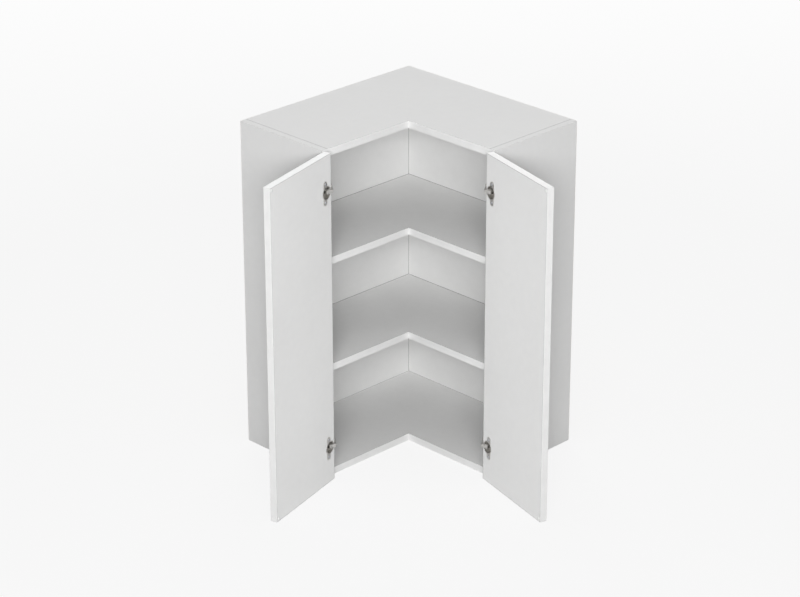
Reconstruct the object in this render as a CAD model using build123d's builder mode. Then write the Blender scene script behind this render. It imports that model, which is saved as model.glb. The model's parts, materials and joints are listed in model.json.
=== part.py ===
"""L-shaped corner wall cabinet with two doors, each hung on its own end panel.

Lengths are in millimetres and angles in degrees. The origin is the point where the two room
walls meet, level with the underside of the cabinet: +X runs along one wall, -Y along the other,
+Z is up. Both wings are alike, so a piece of the left wing (the one along -Y) is drawn and the
right one is its mirror image about the diagonal through the corner. The doors stand open.

On a wing, s is the distance from the inner front corner towards the end panel, and r is the
distance outwards from the front plane of the carcass.
"""

from build123d import *
from math import atan2, cos, degrees, hypot, radians, sin
import os

# --- driving dimensions -------------------------------------------------------------------
# carcass
wing_length = 600.0  # along each wall, from the corner to the outer face of the end panel
cabinet_height = 900.0
carcass_depth = 300.0  # from the wall to the front edges, doors left out
board = 19.0  # end panels, top, bottom, shelves and doors
back_board = 8.0
back_setback = 19.0  # free space between the wall and the back panels
batten_reach = 87.0  # from the corner to the outer edges of the two battens
edging = 1.0  # edge band on every front edge
edging_round = 0.6
strip_joint = 0.1  # hairline between two strips of edging
back_groove_depth = 6.0
groove_play = 0.1  # each side of a back panel in its groove
groove_end_play = 0.5

# shelves
shelf_count = 2
shelf_setback = 4.0  # front edge of a shelf behind the front plane
shelf_play = 1.0  # between a shelf and the panels round it
shelf_pin_radius = 2.5
shelf_pin_grip = 8.0  # length in the panel
shelf_pin_reach = 8.0  # length under the shelf
shelf_pin_width = 7.0
shelf_pin_thickness = 3.0
shelf_pin_depths = (64.0, 256.0)  # from the wall, on the end panels
shelf_pin_corner = 57.0  # from the corner, on the back panels

# knock-down joints between the L-shaped panels and the end panels
joint_depths = (60.0, 225.0)  # cam and bolt, from the wall
dowel_offset = 32.0  # from a bolt to its dowel
cam_distance = 34.0  # centre of a cam to the end of its panel
cam_radius = 7.5
cam_height = 13.0
bolt_radius = 3.0
bolt_grip = 11.0
bolt_bore = 4.0  # radius of the bore along the panel
bolt_neck_length = 6.0
dowel_radius = 4.0
dowel_in_face = 12.0
dowel_in_edge = 22.0
cap_radius = 8.5
cap_thickness = 0.8
fixing_play = 0.05  # radial, between a fixed fastener and its hole
bore_relief = 1.0  # free depth beyond what sits in a blind bore

# doors
door_gap = 2.0  # closed door to the front plane
door_reveal = 1.5  # door edge inside the outline of the carcass, at the end, top and bottom
corner_gap = 2.0  # closed door edge to the face of the other closed door
door_round = 0.8
bumper_radius = 4.0
bumper_thickness = 1.6
bumper_inset = 8.0

# hinges: two wide-angle cup hinges on each door
door_opening = 165.0
hinge_inset = 100.0  # from the ends of the cabinet to a hinge
cup_radius = 17.5
cup_depth = 12.2
cup_edge = 4.5  # rim of the cup bore to the edge of the door
cup_wall = 1.9
cup_floor = 1.0
cup_flange = 1.0
cup_rim = 0.8
cup_screw_offset = 6.0  # screws behind the middle of the cup
cup_screw_spacing = 48.0
cup_screw_radius = 1.75
cup_screw_length = 10.0
cup_screw_head_radius = 3.5
cup_ear_width = 16.0  # rounded ears of the flange round its two screws
cup_lug_length = 12.8  # lugs on each side of the link, along the door
cup_lug_shift = 2.0  # middle of the lugs behind the cup pin, towards the edge of the door
cup_slot_play = 0.6  # between the link and the lugs
arm_pin_depth = 10.4  # behind the front plane
arm_pin_offset = 8.4  # from the inner face of the end panel
cup_pin_edge = 14.8  # from the edge of the door
cup_pin_depth = 2.5  # below the inner face of the door
pin_radius = 1.5
pin_play = 0.05
short_link_length = 17.6
short_link_closed = 185.5  # direction of the short link when the door is closed, from s towards r
short_link_share = 0.68  # turn of the short link for each degree of the door
link_eye_radius = 3.2
long_link_width = 4.0
crank_share = 0.73  # place of the bend along the long link
crank_height = 11.0
long_link_half = 4.4  # half height of the long link, between the cheeks of the short one
link_side_play = 0.2
short_cheek = 2.2
arm_sheet = 1.8
arm_length = 60.0
arm_standoff = 15.5  # outer face of the arm to the end panel
arm_head_radius = 4.5
arm_head_length = 8.0  # pin to the start of the web
arm_head_overlap = 2.0  # rounded head running into the web
plate_thickness = 2.0
block_setback = 6.4  # block of the plate behind the start of the web of the arm
plate_setback = 37.0  # plate screws behind the front plane
plate_screw_spacing = 32.0
plate_wing_height = 42.0
plate_wing_width = 14.0
plate_screw_length = 12.0
screw_head_radius = 4.0
screw_head_height = 1.6
arm_screw_radius = 2.5
arm_screw_depths = (32.0, 58.0)

# hangers in the upper outer corners, and the wall plates that they hook over
hanger_width = 48.0
hanger_height = 60.0
hanger_depth = 18.0
hanger_wall = 2.0
hanger_drop = 2.0  # below the top panel
peg_radius = 5.0
peg_length = 11.0
peg_spacing = 32.0
hook_thickness = 3.0
hook_width = 24.0
hook_nose = 11.0
hook_play = 0.5
cutout_margin = 5.0  # round the hook in the back panel
hanger_cover_depth = 4.0
hanger_cover_wall = 1.5
hanger_screw_radius = 3.0
plate_standoff = 8.0  # lip of the wall plate in front of the wall
wall_plate_width = 46.0
wall_plate_sheet = 2.0
wall_plate_base = 48.0
wall_plate_lip = 12.0
wall_screw_radius = 3.25
wall_screw_spacing = 28.0
wall_screw_drop = 26.0  # below the step of the plate

# --- derived places -----------------------------------------------------------------------
panel_end = wing_length - board  # inner faces of the end panels
front_length = wing_length - carcass_depth  # front of a wing, inner corner to end panel face
inner_height = cabinet_height - 2 * board
back_face = back_setback + back_board  # front faces of the back panels
compartment = (inner_height - shelf_count * board) / (shelf_count + 1)
shelf_levels = [board + (i + 1) * compartment + i * board for i in range(shelf_count)]
door_start = door_gap + board + corner_gap
door_width = front_length - door_reveal - door_start
door_height = cabinet_height - 2 * door_reveal
hinge_heights = (hinge_inset, cabinet_height - hinge_inset)
cup_centre = cup_edge + cup_radius
link_length_half = long_link_half + link_side_play + short_cheek
arm_half = link_length_half + link_side_play + arm_sheet
batten_dowel = (back_setback / 2, -(back_face + batten_reach) / 2)  # on the left wing
DIAGONAL = Plane(origin=(0, 0, 0), z_dir=(1, 1, 0))
UP = (0, 0, 1)
TOWARDS_END = (0, -1, 0)
MIN_CORNER = (Align.MIN, Align.MIN, Align.MIN)
ON_FACE = (Align.CENTER, Align.CENTER, Align.MIN)


def wing_point(s, r, z=0.0):
    """Place on the left wing from its front coordinates."""
    return Vector(carcass_depth + r, -carcass_depth - s, z)


def wing_direction(angle):
    """Level direction on the left wing, from the direction of s towards r."""
    return Vector(sin(radians(angle)), -cos(radians(angle)), 0)


def along(point, length, angle):
    """Point (s, r) at a length and angle from another."""
    return (point[0] + length * cos(radians(angle)), point[1] + length * sin(radians(angle)))


# hinge geometry on the front coordinates: pins with the door closed, then open
closed_edge = front_length - door_reveal
arm_pin = (front_length - board - arm_pin_offset, -arm_pin_depth)
closed_knuckle = along(arm_pin, short_link_length, short_link_closed)
closed_cup_pin = (closed_edge - cup_pin_edge, door_gap + cup_pin_depth)
long_link_length = hypot(
    closed_cup_pin[0] - closed_knuckle[0], closed_cup_pin[1] - closed_knuckle[1]
)
# the long link keeps its direction while the short link and the door turn
long_link_angle = degrees(
    atan2(closed_cup_pin[1] - closed_knuckle[1], closed_cup_pin[0] - closed_knuckle[0])
)
short_link_angle = short_link_closed - short_link_share * door_opening
knuckle = along(arm_pin, short_link_length, short_link_angle)
cup_pin = along(knuckle, long_link_length, long_link_angle)
door_angle = 180.0 - door_opening
door_corner = along(cup_pin, -cup_pin_edge, door_angle)
door_corner = along(door_corner, -cup_pin_depth, door_angle - 90.0)


def door_plane(z=0.0):
    """Open door: x from the hinged edge to the free one, y out of its inner face, z up."""
    return Plane(origin=wing_point(*door_corner, z), x_dir=wing_direction(door_angle), z_dir=UP)


def cup_plane(z):
    """Face of a hinge cup: x towards the free edge, y up, z into the door."""
    frame = door_plane(z)
    origin = frame.from_local_coords((cup_centre, 0, 0))
    return Plane(origin=origin, x_dir=frame.x_dir, z_dir=-frame.y_dir)


# --- shared shapes ------------------------------------------------------------------------
def cuboid(low, high, mode=Mode.ADD):
    """Block from its lowest corner to its highest."""
    size = Vector(*high) - Vector(*low)
    with Locations(low):
        Box(size.X, size.Y, size.Z, align=MIN_CORNER, mode=mode)


def rod(start, direction, radius, length, mode=Mode.ADD):
    """Round bar, or bore, from a point along a direction."""
    with Locations(Plane(origin=start, z_dir=direction).location):
        Cylinder(radius, length, align=ON_FACE, mode=mode)


def bar_between(start, end, width):
    """Round-ended bar between two points of the sketch."""
    run = Vector(*end) - Vector(*start)
    middle = (Vector(*start) + Vector(*end)) / 2
    with Locations(Location((middle.X, middle.Y, 0), (0, 0, degrees(atan2(run.Y, run.X))))):
        SlotCenterToCenter(run.length, width)


def ell(back, front, end, plane):
    """L seen from above, by the distances of its back, front and end edges."""
    with BuildSketch(plane) as outline:
        with BuildLine():
            Polyline(
                (back, -back),
                (end, -back),
                (end, -front),
                (front, -front),
                (front, -end),
                (back, -end),
                close=True,
            )
        make_face()
    return outline


def save(part, name):
    """Label a finished piece and write it."""
    part.label = name
    export_step(part, f"parts/{name}.step")


def save_pair(part, name):
    """Write a piece of the left wing, and its mirror image for the right wing."""
    save(part, f"left_{name}")
    with BuildPart() as other:
        mirror(part, about=DIAGONAL)
    save(other.part, f"right_{name}")


def save_both(part, name):
    """Write the same small pieces of both wings as one group."""
    with BuildPart() as group:
        add(part)
        mirror(part, about=DIAGONAL)
    save(group.part, name)


# --- carcass ------------------------------------------------------------------------------
def end_panel():
    """Left end panel, with its groove, hinge plate, shelf pin, joint and hanger bores."""
    face = -panel_end
    pin_bore = shelf_pin_grip + bore_relief
    bolt_depth = bolt_grip + bore_relief
    dowel_depth = dowel_in_face + bore_relief
    with BuildPart() as panel:
        cuboid((0, -wing_length, 0), (carcass_depth - edging, face, cabinet_height))
        cuboid(
            (back_setback - groove_play, face - back_groove_depth, board - back_groove_depth),
            (back_face + groove_play, face, cabinet_height - board + back_groove_depth),
            mode=Mode.SUBTRACT,
        )
        for z in hinge_heights:
            for side in (-1, 1):
                start = (carcass_depth - plate_setback, face, z + side * plate_screw_spacing / 2)
                rod(start, TOWARDS_END, bolt_radius, plate_screw_length, mode=Mode.SUBTRACT)
        for level in shelf_levels:
            for x in shelf_pin_depths:
                start = (x, face, level - shelf_pin_thickness / 2)
                rod(start, TOWARDS_END, shelf_pin_radius, pin_bore, mode=Mode.SUBTRACT)
        for z in (board / 2, cabinet_height - board / 2):
            for x, towards in zip(joint_depths, (1, -1)):
                rod((x, face, z), TOWARDS_END, bolt_radius, bolt_depth, mode=Mode.SUBTRACT)
                start = (x + towards * dowel_offset, face, z)
                rod(start, TOWARDS_END, dowel_radius, dowel_depth, mode=Mode.SUBTRACT)
        for z in peg_heights():
            start = (back_face + hanger_depth / 2, face, z)
            rod(start, TOWARDS_END, peg_radius, peg_length + bore_relief, mode=Mode.SUBTRACT)
    return panel.part


def end_edging():
    """Edge band on the front edge of the end panel."""
    with BuildPart() as band:
        cuboid(
            (carcass_depth - edging, -wing_length, 0),
            (carcass_depth, -panel_end, cabinet_height),
        )
        fillet(band.edges().filter_by(Axis.Z).group_by(Axis.X)[-1], edging_round)
    return band.part


def panel_bores(bottom, inner_face, into):
    """Bores of the left wing in an L-shaped panel: cams, bolts, dowels and batten dowels."""
    middle = bottom + board / 2
    with BuildPart() as bores:
        for x, towards in zip(joint_depths, (1, -1)):
            rod((x, cam_distance - panel_end, inner_face), (0, 0, into), cam_radius, cam_height)
            rod((x, -panel_end, middle), (0, 1, 0), bolt_bore, cam_distance)
            start = (x + towards * dowel_offset, -panel_end, middle)
            rod(start, (0, 1, 0), dowel_radius, dowel_in_edge + bore_relief)
        rod((*batten_dowel, inner_face), (0, 0, into), dowel_radius, dowel_in_face + bore_relief)
    return bores.part


def flat_panel(bottom, inner_face, into):
    """Top or bottom panel: L-shaped, grooved for the backs and bored for its joints.

    bottom is its lower face, inner_face the face towards the shelves and into the way from
    that face into the board, +1 or -1.
    """
    outline = ell(0, carcass_depth - edging, panel_end, Plane.XY.offset(bottom))
    bores = panel_bores(bottom, inner_face, into)
    low, high = sorted((inner_face, inner_face + into * back_groove_depth))
    near, far = back_setback - groove_play, back_face + groove_play
    with BuildPart() as panel:
        extrude(outline.sketch, amount=board)
        cuboid((near, -panel_end, low), (far, -near, high), mode=Mode.SUBTRACT)
        cuboid((0, -far, low), (panel_end, -near, high), mode=Mode.SUBTRACT)
        add(bores, mode=Mode.SUBTRACT)
        mirror(bores, about=DIAGONAL, mode=Mode.SUBTRACT)
    return panel.part


def front_edging(bottom, front, end):
    """Two strips of edge band along the L-shaped front edge of a board."""
    with BuildPart() as strips:
        cuboid((front - edging, -end, bottom), (front, edging - front, bottom + board))
        cuboid(
            (front + strip_joint, -front, bottom),
            (end, edging - front, bottom + board),
        )
    return strips.part


def batten(start):
    """Upright batten behind a back panel, from a distance to the batten reach."""
    with BuildPart() as upright:
        cuboid((0, -batten_reach, board), (back_setback, -start, cabinet_height - board))
        for z, into in ((board, 1), (cabinet_height - board, -1)):
            start = (*batten_dowel, z)
            rod(start, (0, 0, into), dowel_radius, dowel_in_edge, mode=Mode.SUBTRACT)
        for level in shelf_levels:
            bore = (back_setback, -shelf_pin_corner, level - shelf_pin_thickness / 2)
            rod(bore, (-1, 0, 0), shelf_pin_radius, shelf_pin_grip, mode=Mode.SUBTRACT)
    return upright.part


def back_panel(start):
    """Back panel of the left wing, from a distance from the corner into the end groove."""
    reach = panel_end + back_groove_depth - groove_end_play
    low_end = board - back_groove_depth + groove_end_play
    high_end = cabinet_height - board + back_groove_depth - groove_end_play
    with BuildPart() as panel:
        cuboid((back_setback, -reach, low_end), (back_face, -start, high_end))
        cuboid(*hook_cutout(), mode=Mode.SUBTRACT)
        for level in shelf_levels:
            bore = (back_setback, -shelf_pin_corner, level - shelf_pin_thickness / 2)
            rod(bore, (1, 0, 0), shelf_pin_radius, back_board, mode=Mode.SUBTRACT)
    return panel.part


def mirrored(part):
    """The same piece for the right wing."""
    with BuildPart() as other:
        mirror(part, about=DIAGONAL)
    return other.part


# --- joints of the carcass ----------------------------------------------------------------
def joint_rows():
    """Each L-shaped panel: its inner face, the way into it and the middle of its board."""
    top = cabinet_height - board
    return ((board, -1, board / 2), (top, 1, top + board / 2))


def cam_housings():
    """Cams in the L-shaped panels, each with a mouth for its bolt."""
    with BuildPart() as cams:
        for inner_face, into, middle in joint_rows():
            for x in joint_depths:
                centre = (x, cam_distance - panel_end, inner_face)
                rod(centre, (0, 0, into), cam_radius - fixing_play, cam_height - fixing_play)
                mouth = (x, cam_distance - panel_end - cam_radius, middle)
                rod(mouth, (0, 1, 0), bolt_bore, cam_radius, mode=Mode.SUBTRACT)
    return cams.part


def cam_bolts():
    """Bolts screwed into the end panels, their shanks reaching the cams."""
    with BuildPart() as bolts:
        for inner_face, into, middle in joint_rows():
            for x in joint_depths:
                face = (x, -panel_end, middle)
                rod(face, TOWARDS_END, bolt_radius - fixing_play, bolt_grip)
                rod(face, (0, 1, 0), bolt_radius, cam_distance - bore_relief)
                rod(face, (0, 1, 0), bolt_bore - 2 * fixing_play, bolt_neck_length)
    return bolts.part


def end_dowels():
    """Wooden dowels beside the bolts, and those in the ends of the battens."""
    with BuildPart() as dowels:
        for inner_face, into, middle in joint_rows():
            for x, towards in zip(joint_depths, (1, -1)):
                start = (x + towards * dowel_offset, -panel_end - dowel_in_face, middle)
                length = dowel_in_face + dowel_in_edge
                rod(start, (0, 1, 0), dowel_radius - fixing_play, length)
            start = (*batten_dowel, inner_face + into * dowel_in_face)
            length = dowel_in_face + dowel_in_edge - bore_relief
            rod(start, (0, 0, -into), dowel_radius - fixing_play, length)
    return dowels.part


def cam_caps():
    """Round plastic caps over the cams."""
    with BuildPart() as caps:
        for inner_face, into, middle in joint_rows():
            for x in joint_depths:
                centre = (x, cam_distance - panel_end, inner_face)
                rod(centre, (0, 0, -into), cap_radius, cap_thickness)
    return caps.part


# --- shelves ------------------------------------------------------------------------------
def shelf(bottom):
    """Loose L-shaped shelf."""
    front = carcass_depth - shelf_setback - edging
    outline = ell(back_face + shelf_play, front, panel_end - shelf_play, Plane.XY.offset(bottom))
    with BuildPart() as shelf_board:
        extrude(outline.sketch, amount=board)
    return shelf_board.part


def shelf_pins():
    """Pins of the left wing: a round peg in the panel and a flat tongue under the shelf."""
    drop = shelf_pin_thickness / 2
    peg = shelf_pin_radius - fixing_play
    half = shelf_pin_width / 2
    with BuildPart() as pins:
        for level in shelf_levels:
            for x in shelf_pin_depths:
                rod((x, -panel_end, level - drop), TOWARDS_END, peg, shelf_pin_grip)
                cuboid(
                    (x - half, -panel_end, level - shelf_pin_thickness),
                    (x + half, shelf_pin_reach - panel_end, level),
                )
            corner_start = (back_face, -shelf_pin_corner, level - drop)
            rod(corner_start, (-1, 0, 0), peg, back_board + shelf_pin_grip - bore_relief)
            cuboid(
                (back_face, -shelf_pin_corner - half, level - shelf_pin_thickness),
                (back_face + shelf_pin_reach, half - shelf_pin_corner, level),
            )
    return pins.part


# --- doors --------------------------------------------------------------------------------
def door_panel():
    """Door board inside its edging, bored for the hinge cups and their screws."""
    with BuildPart() as door:
        with BuildSketch(door_plane(door_reveal + edging)):
            with Locations((door_width / 2, -board / 2)):
                Rectangle(door_width - 2 * edging, board)
        extrude(amount=door_height - 2 * edging)
        for z in hinge_heights:
            with BuildSketch(cup_plane(z)):
                Circle(cup_radius)
            extrude(amount=cup_depth, mode=Mode.SUBTRACT)
            with BuildSketch(cup_plane(z)):
                with Locations(*cup_screw_places()):
                    Circle(cup_screw_radius)
            extrude(amount=cup_screw_length + bore_relief, mode=Mode.SUBTRACT)
    return door.part


def door_edging():
    """Four strips of edge band round the door, rounded on their outer edges."""
    with BuildPart() as band:
        with BuildSketch(door_plane(door_reveal)):
            with Locations((door_width / 2, -board / 2)):
                Rectangle(door_width, board)
        extrude(amount=door_height)
        fillet(band.edges(), door_round)
        with BuildSketch(door_plane(door_reveal + edging)):
            with Locations((door_width / 2, -board / 2)):
                Rectangle(door_width - 2 * edging, 2 * board)
        extrude(amount=door_height - 2 * edging, mode=Mode.SUBTRACT)
        for z in (door_reveal + edging, door_reveal + door_height - edging - strip_joint):
            with BuildSketch(door_plane(z)):
                with Locations((door_width / 2, -board / 2)):
                    Rectangle(2 * door_width, 2 * board)
            extrude(amount=strip_joint, mode=Mode.SUBTRACT)
    return band.part


def bumpers():
    """Soft dots on the inner face of the door, at its free edge."""
    low = door_reveal + bumper_inset
    with BuildPart() as dots:
        for z in (low, cabinet_height - low):
            frame = door_plane(z)
            start = frame.from_local_coords((door_width - bumper_inset, 0, 0))
            rod(start, frame.y_dir, bumper_radius, bumper_thickness)
    return dots.part


# --- hinges -------------------------------------------------------------------------------
def cup_screw_places():
    """Screws of one hinge cup, on its face."""
    return [(cup_screw_offset, side * cup_screw_spacing / 2) for side in (-1, 1)]


def hinge_cups():
    """Cups pressed into the door: flange, shell and two lugs that hold the cup pin."""
    lug_half = link_length_half + link_side_play
    inner_radius = cup_radius - cup_wall
    inner_depth = cup_depth - cup_floor
    lug_middle = cup_pin_edge - cup_centre - cup_lug_shift
    slot_half = long_link_half + cup_slot_play
    with BuildPart() as cups:
        for z in hinge_heights:
            face = cup_plane(z)
            with BuildSketch(face):
                Circle(cup_radius - fixing_play)
            extrude(amount=cup_depth - fixing_play)
            with BuildSketch(face):
                Circle(cup_radius + cup_rim)
                with Locations((cup_screw_offset, 0)):
                    SlotCenterToCenter(cup_screw_spacing, cup_ear_width, rotation=90)
                with Locations(*cup_screw_places()):
                    Circle(cup_screw_radius + fixing_play, mode=Mode.SUBTRACT)
            extrude(amount=-cup_flange)
            with BuildSketch(face.offset(-cup_flange)):
                Circle(inner_radius)
            extrude(amount=cup_flange + inner_depth, mode=Mode.SUBTRACT)
            with BuildSketch(face.offset(-cup_flange)):
                Rectangle(4 * cup_radius, 2 * slot_half)
            extrude(amount=cup_flange, mode=Mode.SUBTRACT)
            with BuildSketch(face.offset(-cup_flange / 2)):
                for side in (-1, 1):
                    with Locations((lug_middle, side * (slot_half + lug_half) / 2)):
                        Rectangle(cup_lug_length, lug_half - slot_half)
            extrude(amount=cup_flange / 2 + inner_depth)
            frame = door_plane(z - arm_half)
            start = frame.from_local_coords((cup_pin_edge, -cup_pin_depth, 0))
            rod(start, UP, pin_radius + fixing_play / 2, 2 * arm_half, mode=Mode.SUBTRACT)
    return cups.part


def cup_pins():
    """Pins across the lugs of the cups, on which the long links turn."""
    lug_half = link_length_half + link_side_play
    with BuildPart() as pins:
        for z in hinge_heights:
            rod(wing_point(*cup_pin, z - lug_half), UP, pin_radius, 2 * lug_half)
    return pins.part


def cup_screws():
    """Screws that hold the flanges of the cups to the door."""
    with BuildPart() as screws:
        for z in hinge_heights:
            face = cup_plane(z)
            with BuildSketch(face.offset(-cup_flange)):
                with Locations(*cup_screw_places()):
                    Circle(cup_screw_radius - fixing_play)
            extrude(amount=cup_flange + cup_screw_length)
            with BuildSketch(face.offset(-cup_flange)):
                with Locations(*cup_screw_places()):
                    Circle(cup_screw_head_radius)
            extrude(amount=-screw_head_height + fixing_play)
    return screws.part


def short_links():
    """Forked links between the arms and the knuckles."""
    with BuildPart() as links:
        for z in hinge_heights:
            frame = Plane(
                origin=wing_point(*arm_pin, z - link_length_half),
                x_dir=wing_direction(short_link_angle),
                z_dir=UP,
            )
            with BuildSketch(frame):
                bar_between((0, 0), (short_link_length, 0), 2 * link_eye_radius)
                Circle(pin_radius + pin_play, mode=Mode.SUBTRACT)
                with Locations((short_link_length, 0)):
                    Circle(pin_radius + fixing_play / 2, mode=Mode.SUBTRACT)
            extrude(amount=2 * link_length_half)
            with BuildSketch(frame.offset(short_cheek)):
                with Locations((short_link_length, 0)):
                    Rectangle(4 * link_eye_radius, 4 * link_eye_radius)
            extrude(amount=2 * (long_link_half + link_side_play), mode=Mode.SUBTRACT)
    return links.part


def knuckle_pins():
    """Pins in the forks of the short links, on which the long links turn."""
    with BuildPart() as pins:
        for z in hinge_heights:
            rod(wing_point(*knuckle, z - link_length_half), UP, pin_radius, 2 * link_length_half)
    return pins.part


def long_links():
    """Cranked links from the knuckles round the edge of the door into the cups."""
    bend = (crank_share * long_link_length, crank_height)
    with BuildPart() as links:
        for z in hinge_heights:
            frame = Plane(
                origin=wing_point(*knuckle, z - long_link_half),
                x_dir=wing_direction(long_link_angle),
                z_dir=UP,
            )
            with BuildSketch(frame):
                bar_between((0, 0), bend, long_link_width)
                bar_between(bend, (long_link_length, 0), long_link_width)
                with Locations((0, 0), (long_link_length, 0)):
                    Circle(link_eye_radius)
                with Locations((0, 0), (long_link_length, 0)):
                    Circle(pin_radius + pin_play, mode=Mode.SUBTRACT)
            extrude(amount=2 * long_link_half)
    return links.part


def hinge_arms():
    """Channel-shaped arms, whose cheeks hold the arm pins."""
    web_outer = front_length - board - arm_standoff
    web_start = -arm_pin_depth - arm_head_length
    web_end = -arm_pin_depth - arm_length
    cheek_inner = front_length - board - plate_thickness - link_side_play
    pin_s, pin_r = arm_pin
    with BuildPart() as arms:
        for z in hinge_heights:
            for low in (z - arm_half, z + arm_half - arm_sheet):
                with BuildSketch(Plane(origin=wing_point(0, 0, low), x_dir=TOWARDS_END, z_dir=UP)):
                    middle = ((web_outer + cheek_inner) / 2, (web_start + web_end) / 2)
                    with Locations(middle):
                        Rectangle(cheek_inner - web_outer, web_start - web_end)
                    bar_between(arm_pin, (pin_s, web_start - arm_head_overlap), 2 * arm_head_radius)
                    with Locations(arm_pin):
                        Circle(pin_radius + fixing_play / 2, mode=Mode.SUBTRACT)
                extrude(amount=arm_sheet)
            web_low = wing_point(web_outer + arm_sheet, web_end, z - arm_half)
            web_high = wing_point(web_outer, web_start, z + arm_half)
            cuboid(tuple(web_low), tuple(web_high))
            for depth in arm_screw_depths:
                start = wing_point(web_outer, -depth, z)
                rod(start, TOWARDS_END, arm_screw_radius, arm_sheet, mode=Mode.SUBTRACT)
    return arms.part


def arm_pins():
    """Pins across the cheeks of the arms, on which the short links turn."""
    with BuildPart() as pins:
        for z in hinge_heights:
            rod(wing_point(*arm_pin, z - arm_half), UP, pin_radius, 2 * arm_half)
    return pins.part


def mounting_plates():
    """Cross-shaped plates on the end panel, each with a block inside its arm."""
    face = front_length - board
    block_half = link_length_half
    block_outer = face - arm_standoff + arm_sheet
    block_front = -arm_pin_depth - arm_head_length - block_setback
    block_rear = -arm_pin_depth - arm_length
    with BuildPart() as plates:
        for z in hinge_heights:
            low = wing_point(face, block_rear, z - block_half)
            high = wing_point(block_outer, block_front, z + block_half)
            cuboid(tuple(low), tuple(high))
            half_width = plate_wing_width / 2
            low = wing_point(face, -plate_setback - half_width, z - plate_wing_height / 2)
            high = wing_point(
                face - plate_thickness, half_width - plate_setback, z + plate_wing_height / 2
            )
            cuboid(tuple(low), tuple(high))
            for side in (-1, 1):
                start = wing_point(
                    face - plate_thickness, -plate_setback, z + side * plate_screw_spacing / 2
                )
                rod(start, TOWARDS_END, bolt_radius, plate_thickness, mode=Mode.SUBTRACT)
            for depth in arm_screw_depths:
                start = wing_point(block_outer, -depth, z)
                length = arm_standoff - arm_sheet - plate_thickness
                rod(start, TOWARDS_END, arm_screw_radius, length, mode=Mode.SUBTRACT)
    return plates.part


def headed_screw(start, radius, length):
    """Screw towards the end panel, its head standing out of the face that it clamps."""
    rod(start, TOWARDS_END, radius - fixing_play, length)
    rod(start, (0, 1, 0), screw_head_radius, screw_head_height)


def plate_screws():
    """Screws through the wings of the mounting plates."""
    with BuildPart() as screws:
        for z in hinge_heights:
            for side in (-1, 1):
                start = wing_point(
                    front_length - board - plate_thickness,
                    -plate_setback,
                    z + side * plate_screw_spacing / 2,
                )
                headed_screw(start, bolt_radius, plate_thickness + plate_screw_length - bore_relief)
    return screws.part


def arm_screws():
    """Clamping and adjusting screws between the arms and their plates."""
    with BuildPart() as screws:
        for z in hinge_heights:
            for depth in arm_screw_depths:
                start = wing_point(front_length - board - arm_standoff, -depth, z)
                length = arm_standoff - plate_thickness - bore_relief
                headed_screw(start, arm_screw_radius, length)
    return screws.part


# --- hangers ------------------------------------------------------------------------------
hanger_top = cabinet_height - board - hanger_drop
hanger_bottom = hanger_top - hanger_height
hanger_side = hanger_width - panel_end  # y of the face away from the end panel
hook_centre = hanger_width / 2 - panel_end
hook_level = hanger_top - hanger_height / 2  # underside of the tongue, on the wall plate


def peg_heights():
    """Heights of the two pegs that hold a hanger in the end panel."""
    middle = hanger_top - hanger_height / 2
    return (middle - peg_spacing / 2, middle + peg_spacing / 2)


def hook_cutout():
    """Opening in the back panel for the hook, by its corners."""
    half = hook_width / 2 + cutout_margin
    low = (back_setback, hook_centre - half, hook_level - cutout_margin)
    high = (back_face, hook_centre + half, hook_level + hook_thickness + cutout_margin)
    return low, high


def hangers():
    """Hanger housing, open at the back, with pegs pressed into the end panel."""
    front = back_face + hanger_depth
    with BuildPart() as housing:
        cuboid((back_face, -panel_end, hanger_bottom), (front, hanger_side, hanger_top))
        cuboid(
            (back_face, hanger_wall - panel_end, hanger_bottom + hanger_wall),
            (front - hanger_wall, hanger_side - hanger_wall, hanger_top - hanger_wall),
            mode=Mode.SUBTRACT,
        )
        for z in peg_heights():
            start = (back_face + hanger_depth / 2, -panel_end, z)
            rod(start, TOWARDS_END, peg_radius - fixing_play, peg_length)
        for z in hanger_screw_heights():
            start = (front - hanger_wall, hook_centre, z)
            rod(start, (1, 0, 0), hanger_screw_radius, hanger_wall, mode=Mode.SUBTRACT)
    return housing.part


def hanger_screw_heights():
    """Heights of the depth and height adjusting screws."""
    return (hook_level - hanger_height / 4, hook_level + hanger_height / 4)


def hanger_hooks():
    """Hook: an upright plate in the housing and a tongue that ends in a nose."""
    half = hook_width / 2
    plate_back = back_face + hanger_depth / 2
    nose_back = plate_standoff - hook_play - hook_thickness
    low = hanger_bottom + 2 * hanger_wall
    high = hanger_top - 2 * hanger_wall
    with BuildPart() as hook:
        cuboid(
            (plate_back, hook_centre - half, low),
            (plate_back + hook_thickness, hook_centre + half, high),
        )
        cuboid(
            (nose_back, hook_centre - half, hook_level),
            (plate_back, hook_centre + half, hook_level + hook_thickness),
        )
        cuboid(
            (nose_back, hook_centre - half, hook_level - hook_nose + hook_play),
            (nose_back + hook_thickness, hook_centre + half, hook_level),
        )
        for z in hanger_screw_heights():
            start = (plate_back, hook_centre, z)
            rod(start, (1, 0, 0), hanger_screw_radius, hook_thickness, mode=Mode.SUBTRACT)
    return hook.part


def hanger_screws():
    """Adjusting screws through the front of the housing into the hook."""
    face = back_face + hanger_depth
    with BuildPart() as screws:
        for z in hanger_screw_heights():
            length = hanger_depth / 2
            shank = hanger_screw_radius - fixing_play
            rod((face - length, hook_centre, z), (1, 0, 0), shank, length)
            rod((face, hook_centre, z), (1, 0, 0), screw_head_radius, screw_head_height)
    return screws.part


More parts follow.
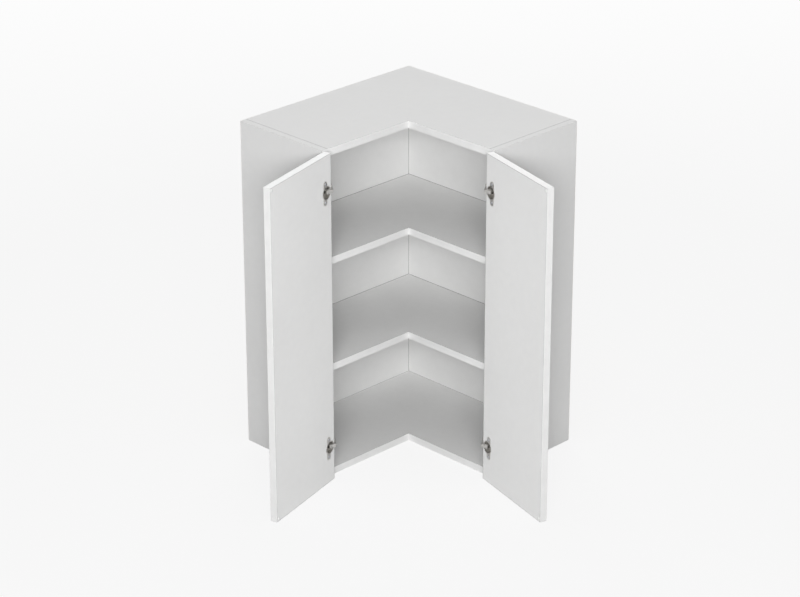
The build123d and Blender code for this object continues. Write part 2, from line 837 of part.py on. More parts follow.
def hanger_covers():
    """Plastic cover over the front of the hanger."""
    face = back_face + hanger_depth
    wall = hanger_cover_wall
    with BuildPart() as cover:
        cuboid(
            (face, -panel_end, hanger_bottom),
            (face + hanger_cover_depth, hanger_side, hanger_top),
        )
        cuboid(
            (face, wall - panel_end, hanger_bottom + wall),
            (face + hanger_cover_depth - wall, hanger_side - wall, hanger_top - wall),
            mode=Mode.SUBTRACT,
        )
    return cover.part


def wall_plates():
    """Steel plate on the wall, stepped out to the lip that carries the hook."""
    half = wall_plate_width / 2
    step_top = hook_level - wall_plate_lip
    sheet = wall_plate_sheet
    low_y, high_y = hook_centre - half, hook_centre + half
    with BuildPart() as plate:
        cuboid((0, low_y, step_top - wall_plate_base), (sheet, high_y, step_top))
        cuboid((0, low_y, step_top - sheet), (plate_standoff + sheet, high_y, step_top))
        cuboid((plate_standoff, low_y, step_top), (plate_standoff + sheet, high_y, hook_level))
        for side in (-1, 1):
            y = hook_centre + side * wall_screw_spacing / 2
            start = (0, y, step_top - wall_screw_drop)
            rod(start, (1, 0, 0), wall_screw_radius, sheet, mode=Mode.SUBTRACT)
    return plate.part


# --- make and write every piece -----------------------------------------------------------
os.makedirs("parts", exist_ok=True)
top_face = cabinet_height - board
save(flat_panel(top_face, top_face, 1), "top_panel")
save(flat_panel(0, board, -1), "bottom_panel")
save(front_edging(top_face, carcass_depth, panel_end), "top_edging")
save(front_edging(0, carcass_depth, panel_end), "bottom_edging")
for name, level in zip(("lower", "upper"), shelf_levels):
    save(shelf(level), f"{name}_shelf")
    band = front_edging(level, carcass_depth - shelf_setback, panel_end - shelf_play)
    save(band, f"{name}_shelf_edging")
save_pair(end_panel(), "end_panel")
save_pair(end_edging(), "end_edging")
save(back_panel(back_face), "left_back_panel")
save(mirrored(back_panel(0)), "right_back_panel")
save(batten(back_face), "left_batten")
save(mirrored(batten(0)), "right_batten")
save_both(cam_housings(), "cam_housings")
save_both(cam_bolts(), "cam_bolts")
save_both(cam_caps(), "cam_caps")
save_both(end_dowels(), "dowels")
save_both(shelf_pins(), "shelf_pins")
save_pair(door_panel(), "door_panel")
save_pair(door_edging(), "door_edging")
save_pair(bumpers(), "door_bumpers")
save_pair(hinge_cups(), "hinge_cups")
save_pair(cup_pins(), "cup_pins")
save_pair(cup_screws(), "cup_screws")
save_pair(short_links(), "short_links")
save_pair(knuckle_pins(), "knuckle_pins")
save_pair(long_links(), "long_links")
save_pair(hinge_arms(), "hinge_arms")
save_both(arm_pins(), "arm_pins")
save_both(mounting_plates(), "mounting_plates")
save_both(plate_screws(), "plate_screws")
save_both(arm_screws(), "arm_screws")
save_pair(hangers(), "hanger")
save_both(hanger_hooks(), "hanger_hooks")
save_both(hanger_screws(), "hanger_screws")
save_both(hanger_covers(), "hanger_covers")
save_pair(wall_plates(), "wall_plate")
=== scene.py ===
"""Looks of the corner wall cabinet: its finishes, small fittings, floor, light and camera."""

import json
from math import cos, radians, sin

import bmesh
import bpy
from mathutils import Matrix, Vector


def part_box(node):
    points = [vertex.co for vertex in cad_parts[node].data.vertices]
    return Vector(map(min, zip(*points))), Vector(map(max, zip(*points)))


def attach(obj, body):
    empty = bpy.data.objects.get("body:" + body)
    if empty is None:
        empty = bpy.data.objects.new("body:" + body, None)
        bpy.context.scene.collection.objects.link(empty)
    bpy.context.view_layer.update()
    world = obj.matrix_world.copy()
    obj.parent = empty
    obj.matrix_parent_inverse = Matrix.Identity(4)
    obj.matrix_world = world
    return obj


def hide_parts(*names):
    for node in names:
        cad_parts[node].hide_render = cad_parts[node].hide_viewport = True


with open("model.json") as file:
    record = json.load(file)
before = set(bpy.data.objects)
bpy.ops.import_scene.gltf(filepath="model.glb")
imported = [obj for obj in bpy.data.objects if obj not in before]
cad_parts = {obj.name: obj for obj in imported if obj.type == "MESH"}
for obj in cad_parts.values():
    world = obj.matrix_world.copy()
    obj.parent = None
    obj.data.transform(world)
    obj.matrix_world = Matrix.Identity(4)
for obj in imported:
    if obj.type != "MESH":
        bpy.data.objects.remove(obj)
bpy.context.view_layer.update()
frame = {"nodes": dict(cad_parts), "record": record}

nodes = frame["nodes"]

# places on the cabinet that its finishes follow, in metres
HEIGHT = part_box("left_end_panel")[1].z
END_FACE = -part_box("left_end_panel")[1].y  # inner face of an end panel, from the corner
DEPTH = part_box("left_end_edging")[1].x  # front of the carcass, from a wall
BACK_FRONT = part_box("left_back_panel")[1].x  # front face of a back panel, from its wall
BAND_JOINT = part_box("left_end_edging")[0].x  # where a board ends and its front band begins
SHELF_BAND_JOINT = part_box("lower_shelf_edging")[0].x
LEDGES = [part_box(name)[1].z for name in ("bottom_panel", "lower_shelf", "upper_shelf")]
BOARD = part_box("bottom_panel")[1].z  # thickness of the boards

# an open door stands a little off the line of its end panel; places are measured along it
OPEN_TURN = radians(15.0)
ALONG, ACROSS = sin(OPEN_TURN), cos(OPEN_TURN)
DOOR_LOW, DOOR_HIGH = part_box("left_door_panel")
DOOR_HINGE_EDGE = DOOR_LOW.x * ALONG - (DOOR_HIGH.y - BOARD * ALONG) * ACROSS
DOOR_FREE_EDGE = (DOOR_HIGH.x - BOARD * ACROSS) * ALONG - DOOR_LOW.y * ACROSS

RAW_SKIN = 0.0002  # a raw face shows this deep round its corners
RUB_REACH = 0.005  # wear reaches this far in from an edge
SEAM_AND_SHADE_HALF_WIDTH = 0.0007  # half width of the dark joint between two boards, and of the painted shade and shadow strips on the back panels


# --- shader nodes as Python expressions ---------------------------------------------------
class Value:
    """A socket in a node tree, which takes part in Python arithmetic."""

    def __init__(self, owner, socket):
        self.owner, self.socket = owner, socket

    def maths(self, operation, *values):
        """Result of a Math node on some values."""
        inputs = dict(enumerate(values))
        return self.owner.node("ShaderNodeMath", {"operation": operation}, inputs)

    def __add__(self, other):
        return self.maths("ADD", self, other)

    def __sub__(self, other):
        return self.maths("SUBTRACT", self, other)

    def __rsub__(self, other):
        return self.maths("SUBTRACT", other, self)

    def __mul__(self, other):
        return self.maths("MULTIPLY", self, other)

    def __lt__(self, other):
        return self.maths("LESS_THAN", self, other)

    def __gt__(self, other):
        return self.maths("GREATER_THAN", self, other)

    def __abs__(self):
        return self.maths("ABSOLUTE", self)

    def __or__(self, other):
        return self.maths("MAXIMUM", self, other)

    def __and__(self, other):
        return self.maths("MINIMUM", self, other)

    __radd__, __rmul__ = __add__, __mul__


class NodeTree:
    """Nodes of a finish or of the background, all made by one method."""

    def __init__(self, tree):
        self.tree = tree
        tree.nodes.clear()

    def node(self, kind, settings, inputs, output=0):
        """A node with its settings, then its inputs, as values or links; gives one output."""
        made = self.tree.nodes.new(kind)
        for key, setting in settings.items():
            if key == "stops":
                while len(made.color_ramp.elements) < len(setting):
                    made.color_ramp.elements.new(1.0)
                for stop, (position, colour) in zip(made.color_ramp.elements, setting):
                    stop.position, stop.color = position, colour
            else:
                setattr(made, key, setting)
        for key, given in inputs.items():
            if isinstance(given, Value):
                self.tree.links.new(given.socket, made.inputs[key])
            else:
                made.inputs[key].default_value = given
        return Value(self, made.outputs[output])

    def mixed(self, factor, first, second):
        """Shader between two others."""
        return self.node("ShaderNodeMixShader", {}, {0: factor, 1: first, 2: second})

    def show(self, kind, shader):
        """End the tree in an output of a kind."""
        output = self.tree.nodes.new(kind)
        self.tree.links.new(shader.socket, output.inputs["Surface"])


class Finish(NodeTree):
    """One material and the nodes that make its surface."""

    def __init__(self, name):
        self.material = bpy.data.materials.new(name)
        self.material.use_nodes = True
        super().__init__(self.material.node_tree)
        self.place = self.node("ShaderNodeTexCoord", {}, {}, "Object")

    def axes(self):
        """X, Y and Z of the place on the cabinet."""
        inputs = {"Vector": self.place}
        return [self.node("ShaderNodeSeparateXYZ", {}, inputs, axis) for axis in "XYZ"]

    def joined(self, x, y, z):
        """Place made of three values."""
        return self.node("ShaderNodeCombineXYZ", {}, {"X": x, "Y": y, "Z": z})

    def stretched(self, scale):
        """The place, scaled along its axes; a pattern is drawn out where a scale is small."""
        return self.node("ShaderNodeMapping", {}, {"Vector": self.place, "Scale": scale})

    def noise(self, lumps, detail=2.0, roughness=0.5, place=None):
        """Cloudy pattern from 0 to 1, with so many lumps a metre."""
        inputs = {
            "Vector": place or self.place,
            "Scale": lumps,
            "Detail": detail,
            "Roughness": roughness,
        }
        return self.node("ShaderNodeTexNoise", {}, inputs)

    def chips(self, lumps, place):
        """Flat chips, so many a metre, each with a value of its own from 0 to 1."""
        cell = self.node("ShaderNodeTexVoronoi", {}, {"Vector": place, "Scale": lumps}, "Color")
        return self.node("ShaderNodeSeparateColor", {}, {"Color": cell}, "Red")

    def band(self, value, low, high):
        """Value spread from 0 at low to 1 at high, and held there."""
        return self.node("ShaderNodeMapRange", {"clamp": True}, {0: value, 1: low, 2: high})

    def swing(self, noise):
        """Noise spread so that it nearly always reaches from 0 to 1."""
        return self.band(noise, 0.3, 0.7)

    def ramp(self, value, *stops):
        """Colour that runs through stops, each a value and its colour."""
        return self.node("ShaderNodeValToRGB", {"stops": stops}, {"Fac": value})

    def blend(self, factor, first, second):
        """Colour between two others."""
        inputs = {0: factor, 6: first, 7: second}
        return self.node("ShaderNodeMix", {"data_type": "RGBA"}, inputs, 2)

    def bump(self, height, depth):
        """Relief of a height from 0 to 1 over a depth in metres."""
        return self.node("ShaderNodeBump", {}, {"Height": height, "Distance": depth})

    def rubbed(self, x, y, z):
        """Patchy wear from 0 to 1 along the upper, lower and front edges of the boards."""
        upright = (z > RAW_SKIN) & (z < HEIGHT - RAW_SKIN)
        ends = self.band(z & (HEIGHT - z), RUB_REACH, 0.0) * upright
        left_front = self.band(abs(x - DEPTH), RUB_REACH, 0.0) * (y < -DEPTH)
        right_front = self.band(abs(y + DEPTH), RUB_REACH, 0.0) * (x > DEPTH)
        near = ends | left_front | right_front
        patches = self.band(self.noise(70.0, 4.0, 0.65), 0.48, 0.62)
        return near * near * patches

    def surface(self, **inputs):
        """The material, by the socket names of its shader with _ for spaces."""
        named = {key.replace("_", " "): value for key, value in inputs.items()}
        return self.shown(self.node("ShaderNodeBsdfPrincipled", {}, named))

    def shown(self, shader):
        """The material, showing a shader."""
        self.show("ShaderNodeOutputMaterial", shader)
        return self.material


def shade(colour, share):
    """Colour made lighter or darker by a share."""
    return (*[min(1.0, part * share) for part in colour[:3]], 1.0)


# --- where the boards are raw, where they meet, and painted shade where they meet inside ---
def at_wall(x, y, z):
    """Rear edges of the boards, against the two walls."""
    return (x < RAW_SKIN) | (y > -RAW_SKIN)


def left_rear(x, y, z):
    """All of the left back panel behind its front face."""
    return x < BACK_FRONT - RAW_SKIN


def right_rear(x, y, z):
    """All of the right back panel behind its front face."""
    return y > RAW_SKIN - BACK_FRONT


def corner_seam_and_shade(x, y, z):
    """Fine dark strip in the inner corner where the two back panels meet: their joint, deepened
    by painted shade of the corner.
    """
    return (x < BACK_FRONT + SEAM_AND_SHADE_HALF_WIDTH) & (y > -BACK_FRONT - SEAM_AND_SHADE_HALF_WIDTH)


def ledge_seams_and_shadows(x, y, z):
    """Fine dark strips on the back panels: the joint with the bottom, and painted shadow of the
    gap where each shelf meets them.
    """
    low, middle, high = [abs(z - ledge) < SEAM_AND_SHADE_HALF_WIDTH for ledge in LEDGES]
    return low | middle | high


def end_seam(x, y, z):
    """Fine dark joint between the end panels and the boards that butt against them."""
    return (abs(y + END_FACE) < SEAM_AND_SHADE_HALF_WIDTH) | (abs(x - END_FACE) < SEAM_AND_SHADE_HALF_WIDTH)


def band_seams(x, y, joint):
    """Fine joints between a board and the bands on its two front edges."""
    left = (abs(x - joint) < SEAM_AND_SHADE_HALF_WIDTH) & (y < -joint)
    right = (abs(y + joint) < SEAM_AND_SHADE_HALF_WIDTH) & (x > joint)
    return left | right


def board_band_seams(x, y, z):
    """Fine joints behind the front bands of the carcass."""
    return band_seams(x, y, BAND_JOINT)


def shelf_band_seams(x, y, z):
    """Fine joints behind the front bands of the shelves."""
    return band_seams(x, y, SHELF_BAND_JOINT)


def door_seams(along, z):
    """Fine joints round a door face, where its four edge bands begin."""
    sides = (along < DOOR_HINGE_EDGE + SEAM_AND_SHADE_HALF_WIDTH) | (along > DOOR_FREE_EDGE - SEAM_AND_SHADE_HALF_WIDTH)
    return sides | (z < DOOR_LOW.z + SEAM_AND_SHADE_HALF_WIDTH) | (z > DOOR_HIGH.z - SEAM_AND_SHADE_HALF_WIDTH)


def left_door_seams(x, y, z):
    """Fine joints round the left door face."""
    return door_seams(x * ALONG - y * ACROSS, z)


def right_door_seams(x, y, z):
    """Fine joints round the right door face."""
    return door_seams(x * ACROSS - y * ALONG, z)


# --- finishes -----------------------------------------------------------------------------
GREY = (0.84, 0.84, 0.835)
LIGHT_GREY = (0.89, 0.89, 0.885)
WHITE = (0.90, 0.90, 0.895)
# the door bands' white is a little darker than the door white, as painted shade for the strong
# front light on the narrow edges
SHADED_BAND_WHITE = (0.86, 0.86, 0.855)
PLASTIC_WHITE = (0.86, 0.86, 0.85)
PLASTIC_GREY = (0.76, 0.76, 0.75)
NICKEL = (0.80, 0.785, 0.76)
ZINC = (0.72, 0.73, 0.76)
CAST_ZINC = (0.58, 0.58, 0.59)
CHIP_COLOURS = (
    (0.18, (0.29, 0.19, 0.10, 1)),
    (0.45, (0.49, 0.35, 0.205, 1)),
    (0.80, (0.70, 0.55, 0.36, 1)),
)
PORE = (0.13, 0.08, 0.045, 1)
DARK_FELT, PALE_FELT = (0.33, 0.225, 0.13, 1), (0.50, 0.37, 0.235, 1)
FELT_SPECK = (0.17, 0.105, 0.06, 1)
MILKY, CLEAR = (0.80, 0.81, 0.80, 1), (0.90, 0.91, 0.90, 1)
DARK_BEECH, PALE_BEECH = (0.50, 0.33, 0.19, 1), (0.68, 0.50, 0.32, 1)
BEECH_FLECK = (0.33, 0.2, 0.11, 1)

# relief of each finish, in metres
MELAMINE_RELIEF = 0.00016
RAW_RELIEF = 0.0003
BAND_RELIEF = 0.00004
METAL_RELIEF = 0.00003
PLASTIC_RELIEF = 0.00005
DOT_RELIEF = 0.00003
BEECH_RELIEF = 0.0001

CHIP_DRIFT = 0.0022  # the chips wander this far, in metres
CHIP_PRESS = 1.7  # and are pressed flat by this much
SEAM_AND_SHADE_SHARE, SEAM_AND_SHADE_TONE = 0.72, 0.22  # how much of its dark tone a joint shows, and that tone; the same darkening paints shade in the back corner and shadow where the shelves meet the back panels
RUB_SHARE, RUB_SHADE = 0.5, 0.72  # the same for worn edges


def chipboard(finish):
    """Raw cut edge of chipboard: long and short chips of several browns, with dark pores."""
    drift = finish.noise(90.0) * CHIP_DRIFT
    x, y, z = finish.axes()
    settled = finish.joined(x + drift, y - drift, z * CHIP_PRESS + drift)
    long_chips = finish.chips(330.0, settled)
    short_chips = finish.chips(900.0, settled)
    dust = finish.noise(2600.0, 3.0)
    pores = finish.band(finish.noise(700.0, place=settled), 0.38, 0.30)
    wood = finish.ramp(long_chips * 0.42 + short_chips * 0.33 + dust * 0.25, *CHIP_COLOURS)
    height = (long_chips * 0.5 + short_chips * 0.5) * (1 - pores)
    return finish.blend(pores * 0.75, wood, PORE), height


def hardboard(finish):
    """Raw rear face of fibreboard: felted fibres, faint mottling and a few dark specks."""
    x, y, z = finish.axes()
    fibres = finish.noise(420.0, 6.0, 0.68, finish.joined(x, y, z * 0.45))
    clouds = finish.noise(7.0, 4.0)
    specks = finish.band(finish.noise(300.0), 0.70, 0.78)
    tone = finish.band(fibres * 0.65 + clouds * 0.35, 0.32, 0.68)
    felt = finish.blend(tone, DARK_FELT, PALE_FELT)
    return finish.blend(specks * 0.6, felt, FELT_SPECK), fibres


def melamine(name, colour, raw=None, core=chipboard, seams_and_shade=()):
    """Satin melamine face; raw gives the places where the bare core shows instead."""
    finish = Finish(name)
    x, y, z = finish.axes()
    pearl = finish.noise(1500.0)
    ripple = finish.noise(55.0)
    clouds = finish.noise(2.6, 3.0)
    tone = finish.band(clouds * 0.5 + ripple * 0.22 + pearl * 0.28, 0.32, 0.68)
    base = finish.blend(tone, shade(colour, 0.95), shade(colour, 1.02))
    rough = 0.50 + finish.swing(ripple) * 0.08 + finish.swing(clouds) * 0.05
    # dark joints; on the back panels also painted shade in the inner corner and painted shadow
    # where the shelves meet them
    if seams_and_shade:
        joints_and_shade = seams_and_shade[0](x, y, z)
        for seam in seams_and_shade[1:]:
            joints_and_shade = joints_and_shade | seam(x, y, z)
        base = finish.blend(joints_and_shade * SEAM_AND_SHADE_SHARE, base, shade(colour, SEAM_AND_SHADE_TONE))
    rub = finish.rubbed(x, y, z)
    base = finish.blend(rub * RUB_SHARE, base, shade(colour, RUB_SHADE))
    rough = rough + rub * 0.2
    height = pearl * 0.35 + ripple * 0.65
    if raw:
        mask = raw(x, y, z)
        core_colour, core_height = core(finish)
        base = finish.blend(mask, base, core_colour)
        rough = rough + mask * 0.4
        height = height * (1 - mask) + core_height * mask * 2.0
    normal = finish.bump(height, MELAMINE_RELIEF)
    return finish.surface(Base_Color=base, Roughness=rough, Normal=normal, Specular_IOR_Level=0.2)


def raw_chipboard(name):
    """Bare chipboard all over, as on the battens."""
    finish = Finish(name)
    colour, height = chipboard(finish)
    normal = finish.bump(height, RAW_RELIEF)
    return finish.surface(Base_Color=colour, Roughness=0.85, Normal=normal)


def edge_band(name, colour):
    """Plastic edge band: a fine rolled grain along the strip, scuffs and a faint sheen."""
    finish = Finish(name)
    grain = finish.noise(900.0, 3.0)
    waves = finish.noise(30.0)
    tone = finish.swing(grain * 0.4 + waves * 0.6)
    base = finish.blend(tone, shade(colour, 0.96), shade(colour, 1.02))
    scuffs = finish.band(finish.noise(260.0, 4.0, 0.7), 0.60, 0.70)
    base = finish.blend(scuffs * 0.35, base, shade(colour, 0.8))
    rough = 0.34 + finish.swing(waves) * 0.1 + scuffs * 0.2
    normal = finish.bump(grain * 0.7 + scuffs * 0.3, BAND_RELIEF)
    return finish.surface(Base_Color=base, Roughness=rough, Normal=normal, Coat_Weight=0.08)


def plated(name, colour, roughness, mottle, grain=(1, 1, 1)):
    """Plated or cast metal; mottle is the share of patches beside fine or drawn-out lines."""
    finish = Finish(name)
    lines = finish.noise(700.0, 3.0, 0.6, finish.stretched(grain))
    patches = finish.noise(60.0, 3.0)
    tone = finish.swing(lines * (1 - mottle) + patches * mottle)
    base = finish.blend(tone, shade(colour, 0.86), shade(colour, 1.06))
    rough = roughness + finish.swing(patches) * 0.12 + lines * 0.06
    normal = finish.bump(lines, METAL_RELIEF)
    return finish.surface(Base_Color=base, Metallic=1.0, Roughness=rough, Normal=normal)


def moulded(name, colour):
    """Moulded plastic with a fine spark-eroded texture and faint flow marks."""
    finish = Finish(name)
    spark = finish.noise(1800.0)
    flow = finish.noise(38.0, 3.0, 0.6, finish.stretched((1, 1, 3)))
    base = finish.blend(finish.swing(flow), shade(colour, 0.95), shade(colour, 1.02))
    rough = 0.45 + finish.swing(spark) * 0.12
    normal = finish.bump(spark, PLASTIC_RELIEF)
    return finish.surface(Base_Color=base, Roughness=rough, Normal=normal)


def soft_dot(name):
    """Clear soft dot: glossy, slightly milky, with tiny bubbles."""
    finish = Finish(name)
    bubbles = finish.noise(900.0)
    base = finish.blend(finish.band(bubbles, 0.35, 0.65), MILKY, CLEAR)
    rough = 0.12 + finish.swing(bubbles) * 0.1
    normal = finish.bump(bubbles, DOT_RELIEF)
    return finish.surface(Base_Color=base, Roughness=rough, Normal=normal)


def beech(name):
    """Turned beech, with grain along the dowel and short dark flecks."""
    finish = Finish(name)
    grain = finish.noise(240.0, 4.0, 0.6, finish.stretched((1, 0.12, 0.12)))
    flecks = finish.noise(900.0, place=finish.stretched((1, 0.3, 0.3)))
    base = finish.blend(finish.swing(grain), DARK_BEECH, PALE_BEECH)
    base = finish.blend(finish.band(flecks, 0.6, 0.7) * 0.4, base, BEECH_FLECK)
    normal = finish.bump(grain, BEECH_RELIEF)
    return finish.surface(Base_Color=base, Roughness=0.6 + grain * 0.2, Normal=normal)


CARCASS_SEAMS = (end_seam, board_band_seams)
# the back panels' dark strips: the joint at the bottom, painted shade in the inner corner and
# painted shadow where the shelves meet them
BACK_SEAMS_AND_SHADE = (corner_seam_and_shade, ledge_seams_and_shadows)
UPRIGHT = (1, 1, 0.05)  # draws the lines of the metal out along the height

FINISHES = {
    "grey_board": melamine("grey_melamine", GREY, at_wall, chipboard, CARCASS_SEAMS),
    "grey_back_board": melamine("grey_back_left", GREY, left_rear, hardboard, BACK_SEAMS_AND_SHADE),
    "raw_board": raw_chipboard("raw_chipboard"),
    "white_board": melamine("white_door_left", WHITE, seams_and_shade=(left_door_seams,)),
    "white_edging": edge_band("white_edge_band", SHADED_BAND_WHITE),
    "grey_edging": edge_band("grey_edge_band", LIGHT_GREY),
    "beech": beech("beech"),
    "clear_silicone": soft_dot("clear_silicone"),
    "grey_plastic": moulded("grey_plastic", PLASTIC_GREY),
    "white_plastic": moulded("white_plastic", PLASTIC_WHITE),
    "nickel_steel": plated("nickel_plate", NICKEL, roughness=0.30, mottle=0.4, grain=UPRIGHT),
    "cast_zinc": plated("cast_zinc", CAST_ZINC, roughness=0.42, mottle=0.9),
    "zinc_steel": plated("bright_zinc", ZINC, roughness=0.30, mottle=0.7),
}
SHELF_FINISH = melamine("grey_melamine_shelf", GREY, seams_and_shade=(shelf_band_seams,))
OWN_FINISHES = {
    "right_back_panel": melamine("grey_back_right", GREY, right_rear, hardboard, BACK_SEAMS_AND_SHADE),
    "right_door_panel": melamine("white_door_right", WHITE, seams_and_shade=(right_door_seams,)),
    "lower_shelf": SHELF_FINISH,
    "upper_shelf": SHELF_FINISH,
}
SLOT_OF = {part["node"]: part["material_slot"] for part in frame["record"]["subparts"]}


def dress(piece, material):
    """Give a piece one material all over."""
    piece.data.materials.clear()
    piece.data.materials.append(material)


for node_name, slot in SLOT_OF.items():
    dress(nodes[node_name], OWN_FINISHES.get(node_name, FINISHES[slot]))


# --- fittings with rounded edges, screw heads and soft dots --------------------------------
BODY_OF = {
    node: body for body, group in frame["record"]["behaviour"]["bodies"].items() for node in group
}
MERGE = 0.000001  # corners nearer than this are one
FLAT_ANGLE = 1.0  # degrees between triangles of one flat face
SHARP_ANGLE = 35.0  # degrees from which an edge is rounded, or stays crisp in the shading
SHEET_PLAY = 0.0001  # between the length of an edge across a sheet and the sheet's thickness
CORNER_SEGMENTS, RIM_SEGMENTS, DOME_SEGMENTS = 6, 4, 5
LIKE_LARGEST = 0.9  # share of the largest face that other ends of the same kind reach

# crossed slots in a screw head, in metres
CROSS_SLOT = 0.0009  # width of a slot
CROSS_ARM = 0.0013  # each slot beyond the middle of the cross
CROSS_DEPTH = 0.0009
CROSS_TAPER = 0.6  # size of the cross at its bottom, as a share
HEAD_TURN = 37.0  # degrees from one screw to the next


def whole_faces(name):
    """Copy of a CAD node's mesh with its triangles joined into whole faces."""
    mesh = bmesh.new()
    mesh.from_mesh(nodes[name].data)
    bmesh.ops.remove_doubles(mesh, verts=mesh.verts, dist=MERGE)
    bmesh.ops.dissolve_limit(
        mesh, angle_limit=radians(FLAT_ANGLE), verts=mesh.verts, edges=mesh.edges
    )
    return mesh


def sharp_edges(mesh):
    """Edges between faces that meet at a clear angle."""
    return [edge for edge in mesh.edges if edge.calc_face_angle(0.0) > radians(SHARP_ANGLE)]


def rims(faces):
    """Edges round some faces, each one once."""
    return list({edge for face in faces for edge in face.edges})


def round_off(mesh, edges, width, segments):
    """Round edges of a piece by a width."""
    bmesh.ops.bevel(
        mesh,
        geom=edges,
        offset=width,
        offset_type="OFFSET",
        affect="EDGES",
        segments=segments,
        profile=0.5,
        material=-1,
        clamp_overlap=True,
    )


def largest_faces(mesh):
    """Faces nearly as large as the largest one: the ends of discs and screw heads."""
    areas = {face: face.calc_area() for face in mesh.faces}
    largest = max(areas.values())
    return [face for face in mesh.faces if areas[face] > LIKE_LARGEST * largest]


def fit(name, mesh, kind):
    """Show a finished mesh in place of its CAD node."""
    for face in mesh.faces:
        face.smooth = True
    for edge in sharp_edges(mesh):
        edge.smooth = False
    data = bpy.data.meshes.new(f"{name}_{kind}")
    mesh.to_mesh(data)
    mesh.free()
    piece = bpy.data.objects.new(f"{name}_{kind}", data)
    bpy.context.scene.collection.objects.link(piece)
    piece.modifiers.new("even_shading", "WEIGHTED_NORMAL").keep_sharp = True
    dress(piece, FINISHES[SLOT_OF[name]])
    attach(piece, BODY_OF[name])
    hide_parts(name)
    return piece


def rounded(name, width, segments=2, sheet=0.0, corner=0.0):
    """Pressed or moulded fitting with all its edges rounded; first the corners of its sheet."""
    mesh = whole_faces(name)
    if corner:
        across = [
            edge for edge in sharp_edges(mesh) if abs(edge.calc_length() - sheet) < SHEET_PLAY
        ]
        outer = [edge for edge in across if edge.is_convex]
        round_off(mesh, outer, corner, CORNER_SEGMENTS)
    round_off(mesh, sharp_edges(mesh), width, segments)
    fit(name, mesh, "rounded")


def screwdriver_crosses(places):
    """Cutter with a tapered cross at each screw head, by its centre and outward direction."""
    tip = bmesh.new()
    bmesh.ops.create_cube(tip, size=1.0)
    bmesh.ops.scale(tip, vec=(CROSS_SLOT, CROSS_SLOT, 2 * CROSS_DEPTH), verts=tip.verts)
    tip.normal_update()
    sides = [face for face in tip.faces if abs(face.normal.z) < 0.5]
    for face in bmesh.ops.extrude_discrete_faces(tip, faces=sides)["faces"]:
        face.normal_update()
        bmesh.ops.translate(tip, vec=face.normal * CROSS_ARM, verts=face.verts)
    low = [vert for vert in tip.verts if vert.co.z < 0]
    bmesh.ops.scale(tip, vec=(CROSS_TAPER, CROSS_TAPER, 1), verts=low)
    one = bpy.data.meshes.new("screwdriver_cross")
    tip.to_mesh(one)
    tip.free()
    crosses = bmesh.new()
    for number, (centre, outward) in enumerate(places):
        before = len(crosses.verts)
        crosses.from_mesh(one)
        crosses.verts.ensure_lookup_table()
        upright = outward.to_track_quat("Z", "Y").to_matrix().to_4x4()
        turn = Matrix.Rotation(radians(HEAD_TURN * number), 4, "Z")
        place = Matrix.Translation(centre) @ upright @ turn
        bmesh.ops.transform(crosses, matrix=place, verts=crosses.verts[before:])
    bmesh.ops.recalc_face_normals(crosses, faces=crosses.faces)
    crosses.to_mesh(one)
    crosses.free()
    return bpy.data.objects.new("screwdriver_crosses", one)


def cut(piece, cutter):
    """Cut one mesh out of a piece for good."""
    bpy.context.scene.collection.objects.link(cutter)
    modifier = piece.modifiers.new("cut", "BOOLEAN")
    modifier.operation, modifier.solver, modifier.object = "DIFFERENCE", "EXACT", cutter
    bpy.context.view_layer.update()
    shaped = piece.evaluated_get(bpy.context.evaluated_depsgraph_get())
    piece.data = bpy.data.meshes.new_from_object(shaped)
    piece.modifiers.clear()
    bpy.data.objects.remove(cutter)


def screws(name, rim):
    """Screws with a rounded head and crossed slots."""
    mesh = whole_faces(name)
    heads = largest_faces(mesh)
    places = [(face.calc_center_median(), face.normal.copy()) for face in heads]
    round_off(mesh, rims(heads), rim, RIM_SEGMENTS)
    piece = fit(name, mesh, "crossed")
    cut(piece, screwdriver_crosses(places))


def soft_dots(name, rim):
    """Domed soft dots on the inner face of a door."""
    mesh = whole_faces(name)
    free = [face for face in largest_faces(mesh) if face.normal.x - face.normal.y > 0]
    round_off(mesh, rims(free), rim, DOME_SEGMENTS)
    fit(name, mesh, "domed")


for side in ("left", "right"):
    rounded(f"{side}_hinge_cups", width=0.00035)
    rounded(f"{side}_hinge_arms", width=0.0005, sheet=0.0018, corner=0.0025)
    rounded(f"{side}_short_links", width=0.0005)
    rounded(f"{side}_long_links", width=0.0005)
    rounded(f"{side}_cup_pins", width=0.0004)
    rounded(f"{side}_knuckle_pins", width=0.0004)
    rounded(f"{side}_hanger", width=0.0006)
    rounded(f"{side}_wall_plate", width=0.0005, sheet=0.002, corner=0.004)
    screws(f"{side}_cup_screws", rim=0.0011)
    soft_dots(f"{side}_door_bumpers", rim=0.0014)
rounded("arm_pins", width=0.0004)
rounded("mounting_plates", width=0.0006, sheet=0.002, corner=0.0045)
rounded("hanger_hooks", width=0.0006, sheet=0.003, corner=0.003)
rounded("hanger_covers", width=0.0007, segments=3)
rounded("shelf_pins", width=0.0005)
rounded("cam_caps", width=0.0003)
for name in ("plate_screws", "arm_screws", "hanger_screws"):
    screws(name, rim=0.0012)


# --- floor and background -----------------------------------------------------------------
FLOOR_SIZE = 60.0
FLOOR_GAP = 0.0005  # between the floor and the cabinet above it
DARK_FLOOR, PALE_FLOOR = (0.64, 0.64, 0.64, 1), (0.67, 0.67, 0.67, 1)
PLAIN_WHITE = (1, 1, 1, 1)
NEAR_WHITE = 0.86  # share of plain white that the eye sees on the floor near the cabinet
WHITE_GROWS, WHITE_FULL = 1.5, 5.0  # where that share grows and is whole, from the corner
WORLD_LIGHT = 0.27


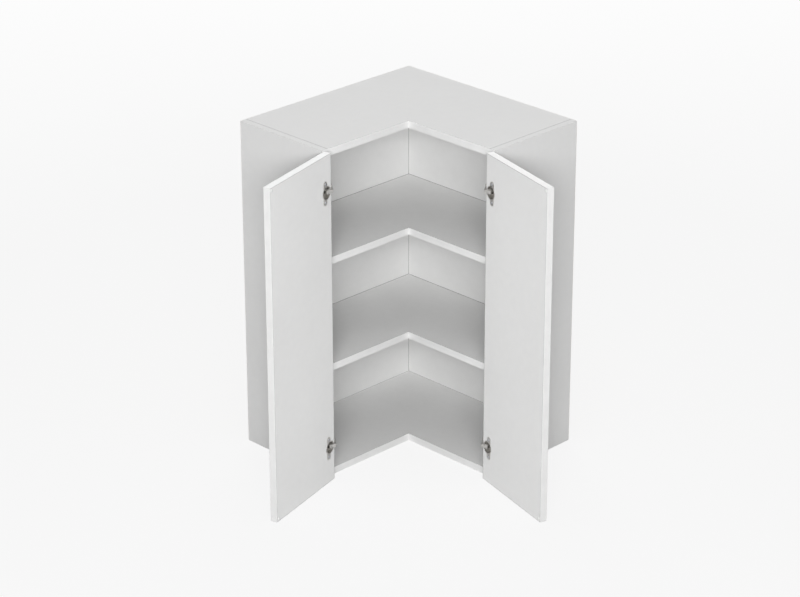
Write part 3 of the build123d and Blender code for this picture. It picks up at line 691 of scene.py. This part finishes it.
def make_floor():
    """Plain pale floor that shows nearly white and keeps the cabinet's shadow."""
    bpy.ops.mesh.primitive_plane_add(size=FLOOR_SIZE, location=(0, 0, -FLOOR_GAP))
    floor = bpy.context.object
    floor.name = "floor"
    finish = Finish("floor_white")
    colour = finish.blend(finish.noise(2.0, 3.0), DARK_FLOOR, PALE_FLOOR)
    plain = finish.node("ShaderNodeBsdfDiffuse", {}, {"Color": colour})
    glow = finish.node("ShaderNodeEmission", {}, {"Color": PLAIN_WHITE, "Strength": 1.0})
    seen = finish.node("ShaderNodeLightPath", {}, {}, "Is Camera Ray")
    length = {"operation": "LENGTH"}
    reach = finish.node("ShaderNodeVectorMath", length, {0: finish.place}, "Value")
    white = NEAR_WHITE + finish.band(reach, WHITE_GROWS, WHITE_FULL) * (1 - NEAR_WHITE)
    dress(floor, finish.shown(finish.mixed(seen * white, plain, glow)))


def make_world():
    """White background for the eye and in reflections, and a plain even light."""
    world = bpy.data.worlds.new("studio")
    bpy.context.scene.world = world
    world.use_nodes = True
    backdrop = NodeTree(world.node_tree)
    eye = backdrop.node("ShaderNodeLightPath", {}, {}, "Is Camera Ray")
    mirror = backdrop.node("ShaderNodeLightPath", {}, {}, "Is Glossy Ray")
    light, white = [
        backdrop.node("ShaderNodeBackground", {}, {"Color": PLAIN_WHITE, "Strength": strength})
        for strength in (WORLD_LIGHT, 1.0)
    ]
    backdrop.show("ShaderNodeOutputWorld", backdrop.mixed(eye | mirror, light, white))


# --- light --------------------------------------------------------------------------------
MIDDLE = Vector((0.33, -0.33, 0.45))


def panel_light(name, place, size, power, mirrored=True):
    """Large soft lamp that faces the cabinet; it may be left out of reflections."""
    lamp = bpy.data.lights.new(name, "AREA")
    lamp.shape, lamp.size, lamp.energy = "DISK", size, power
    holder = bpy.data.objects.new(name, lamp)
    holder.location = place
    holder.rotation_euler = (MIDDLE - Vector(place)).to_track_quat("-Z", "Y").to_euler()
    holder.visible_glossy = mirrored
    bpy.context.scene.collection.objects.link(holder)


make_floor()
make_world()
panel_light("left", (3.9, -4.7, 2.65), size=1.8, power=134.0, mirrored=False)
panel_light("right", (4.7, -3.9, 2.65), size=1.8, power=106.0, mirrored=False)
panel_light("above", (0.6, -0.6, 4.2), size=3.0, power=24.0)
panel_light("rear", (-3.0, 3.0, 2.4), size=4.0, power=78.0)


# --- camera -------------------------------------------------------------------------------
CAMERA_REACH = 4.8535  # from each wall, on the diagonal in front of the corner
CAMERA_HEIGHT = 3.2706
CAMERA_TILT = 23.95  # degrees down
CAMERA_TURN = 45.0  # degrees, to look along the diagonal
FOCAL = 2718.0  # in pixels of the picture
PICTURE_WIDTH = 800.0
SENSOR = 36.0
AXIS_SHIFT = 8.7  # the corner stands this many pixels right of the middle

camera_data = bpy.data.cameras.new("camera")
camera_data.sensor_width = SENSOR
camera_data.lens = FOCAL / PICTURE_WIDTH * SENSOR
camera_data.shift_x = -AXIS_SHIFT / PICTURE_WIDTH
camera = bpy.data.objects.new("camera", camera_data)
camera.location = (CAMERA_REACH, -CAMERA_REACH, CAMERA_HEIGHT)
camera.rotation_euler = (radians(90 - CAMERA_TILT), 0, radians(CAMERA_TURN))
bpy.context.scene.collection.objects.link(camera)
bpy.context.scene.camera = camera
bpy.context.scene.view_settings.view_transform = "Standard"
